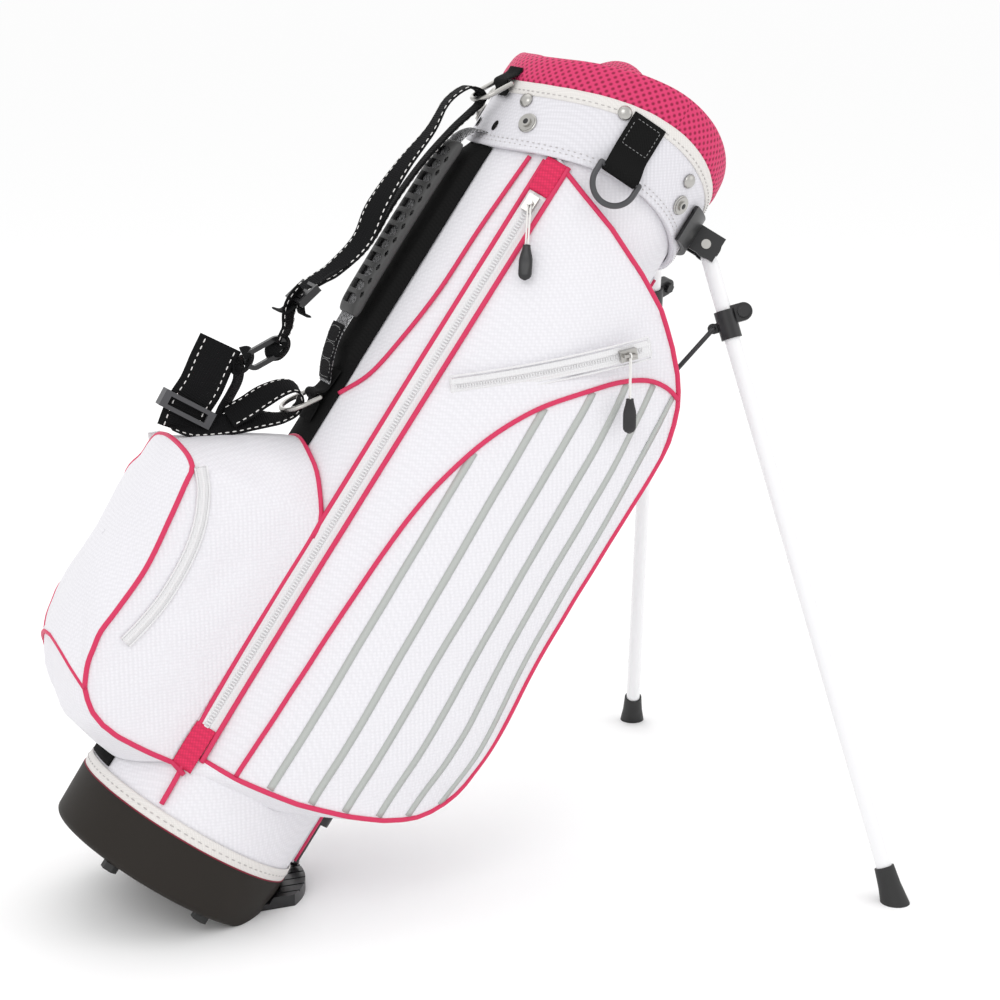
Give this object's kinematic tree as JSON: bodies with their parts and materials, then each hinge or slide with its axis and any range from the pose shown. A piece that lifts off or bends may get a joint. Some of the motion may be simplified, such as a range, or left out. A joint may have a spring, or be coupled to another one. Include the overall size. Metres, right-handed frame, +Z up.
{
  "type": "junior golf stand bag",
  "caption": "Round junior golf bag leaning on two folding legs, with zipped pockets, padded mouth, carry grip and shoulder strap.",
  "frame": {"origin": "middle of the whole stand on the floor, between the boot's back edge and the rubber feet", "axes": "+Z up from the floor, +X from the boot towards the feet, -Y the side with the towel ring and the small zip"},
  "size_m": [0.648, 0.5096, 0.6778],
  "materials": {
    "white_fabric": "matt woven",
    "pink_fabric": "mesh",
    "black_fabric": "matt woven",
    "grey_fabric": "matt woven",
    "boot_rubber": "satin",
    "foot_rubber": "matt",
    "black_plastic": "satin",
    "grey_plastic": "satin",
    "white_plastic": "satin",
    "stay_plastic": "plain",
    "white_metal": "gloss",
    "black_metal": "satin",
    "plated": "polished",
    "grip": "satin"
  },
  "bodies": {
    "bag": {"base_boot": "boot_rubber", "boot_cleats": "foot_rubber", "tube_shell": "white_fabric", "stay_rods": "stay_plastic", "base_binding": "white_fabric", "cuff": "white_fabric", "cuff_binding": "white_fabric", "rim_pad": "pink_fabric", "top_divider": "pink_fabric", "cuff_rivets": "plated", "cuff_snaps": "plated", "towel_tab": "black_fabric", "spine_strip": "black_fabric", "ring_tabs": "black_fabric", "handle_webbing": "grey_fabric", "handle_grip": "grip", "ball_pocket": "white_fabric", "side_pocket_right": "white_fabric", "side_pocket_left": "white_fabric", "ball_zip": "white_fabric", "main_zip_right": "white_fabric", "main_zip_left": "white_fabric", "small_zip": "white_fabric", "leg_bracket": "black_plastic", "leg_pins": "plated", "backing_strip": "white_fabric", "rod_guides": "black_plastic", "foot_pin": "plated"},
    "towel_ring": {"towel_ring": "grey_plastic"},
    "upper_ring": {"d_ring_upper": "plated"},
    "lower_ring": {"d_ring_lower": "plated"},
    "strap": {"strap_upper": "black_fabric", "tri_glide": "black_plastic", "strap_joiner": "black_fabric", "oval_ring": "black_plastic", "strap_wide": "black_fabric", "slider_buckle": "grey_plastic", "strap_lower": "black_fabric"},
    "main_slider": {"main_slider": "plated"},
    "main_pull": {"main_pull": "black_plastic"},
    "small_slider": {"small_slider": "plated"},
    "small_pull": {"small_pull": "black_plastic"},
    "leg_right": {"leg_plug_right": "black_plastic", "leg_tube_right": "white_metal", "leg_clamp_right": "black_plastic", "clamp_knob_right": "black_plastic", "leg_foot_right": "foot_rubber"},
    "leg_left": {"leg_plug_left": "black_plastic", "leg_tube_left": "white_metal", "leg_clamp_left": "black_plastic", "clamp_knob_left": "black_plastic", "leg_foot_left": "foot_rubber"},
    "link_right": {"link_wire_right": "black_metal"},
    "link_left": {"link_wire_left": "black_metal"},
    "push_rod": {"push_rod": "black_metal", "yoke_cup": "black_plastic"},
    "foot_plate": {"foot_plate": "black_plastic"}
  },
  "joints": [
    {"name": "leg_right_fold", "type": "hinge", "parent": "bag", "child": "leg_right", "pos_m": [0.22966, -0.0447, 0.51869], "axis": [0.3895, 0.8797, -0.2727], "range_deg": [0, 47.69]},
    {"name": "leg_left_fold", "type": "hinge", "parent": "bag", "child": "leg_left", "pos_m": [0.22966, 0.0447, 0.51869], "axis": [-0.3895, 0.8797, 0.2727], "range_deg": [0, 47.69]},
    {"name": "link_right_turn", "type": "hinge", "parent": "leg_right", "child": "link_right", "pos_m": [0.22828, -0.06461, 0.4525], "axis": [-0.418, -0.8899, 0.1825], "range_deg": [0, 56.91]},
    {"name": "link_left_turn", "type": "hinge", "parent": "leg_left", "child": "link_left", "pos_m": [0.22828, 0.06461, 0.4525], "axis": [0.418, -0.8899, -0.1825], "range_deg": [0, 56.91]},
    {"name": "rod_slide", "type": "slide", "parent": "bag", "child": "push_rod", "axis": [-0.5736, 0, -0.8192], "range_m": [0, 0.01825]},
    {"name": "plate_turn", "type": "hinge", "parent": "bag", "child": "foot_plate", "pos_m": [-0.19194, 0, 0.0043], "axis": [0, 1, 0], "range_deg": [0, 15]},
    {"name": "main_slide", "type": "slide", "parent": "bag", "child": "main_slider", "axis": [-0.5736, 0, -0.8192], "range_m": [0, 0.47]},
    {"name": "main_pull_swing", "type": "hinge", "parent": "main_slider", "child": "main_pull", "pos_m": [0.05515, -0.07981, 0.56764], "axis": [-0.5155, -0.7771, 0.361], "range_deg": [-30, 30]},
    {"name": "small_slide", "type": "hinge", "parent": "bag", "child": "small_slider", "pos_m": [0.13131, 0.1659, 0.45425], "axis": [0.1736, 0, -0.9848], "range_deg": [0, 24]},
    {"name": "small_pull_lift", "type": "hinge", "parent": "small_slider", "child": "small_pull", "pos_m": [0.11558, -0.13888, 0.45148], "axis": [-0.9987, 0.0515, 0], "range_deg": [0, 24]},
    {"name": "towel_ring_swing", "type": "hinge", "parent": "bag", "child": "towel_ring", "pos_m": [0.12233, -0.10271, 0.58897], "axis": [-0.8013, 0.2079, 0.561], "range_deg": [0, 100]},
    {"name": "upper_ring_swing", "type": "hinge", "parent": "bag", "child": "upper_ring", "pos_m": [0.06805, 0, 0.65383], "axis": [0, 1, 0], "range_deg": [-4, 4]},
    {"name": "lower_ring_swing", "type": "hinge", "parent": "bag", "child": "lower_ring", "pos_m": [-0.09755, 0, 0.4121], "axis": [0, 1, 0], "range_deg": [-4, 4]},
    {"name": "strap_swing", "type": "hinge", "parent": "bag", "child": "strap", "pos_m": [-0.04152, 0, 0.52188], "axis": [0.5711, 0, 0.8209], "range_deg": [-6, 6]}
  ],
  "couplings": [
    {"joint": "leg_left_fold", "follows": "leg_right_fold", "ratio": 1},
    {"joint": "link_right_turn", "follows": "leg_right_fold", "ratio": 1.1932},
    {"joint": "link_left_turn", "follows": "leg_right_fold", "ratio": 1.1932},
    {"joint": "rod_slide", "follows": "leg_right_fold", "m_per_rad": 0.021923},
    {"joint": "small_pull_lift", "follows": "small_slide", "ratio": 1},
    {"joint": "plate_turn", "follows": "leg_right_fold", "ratio": 0.3145}
  ]
}
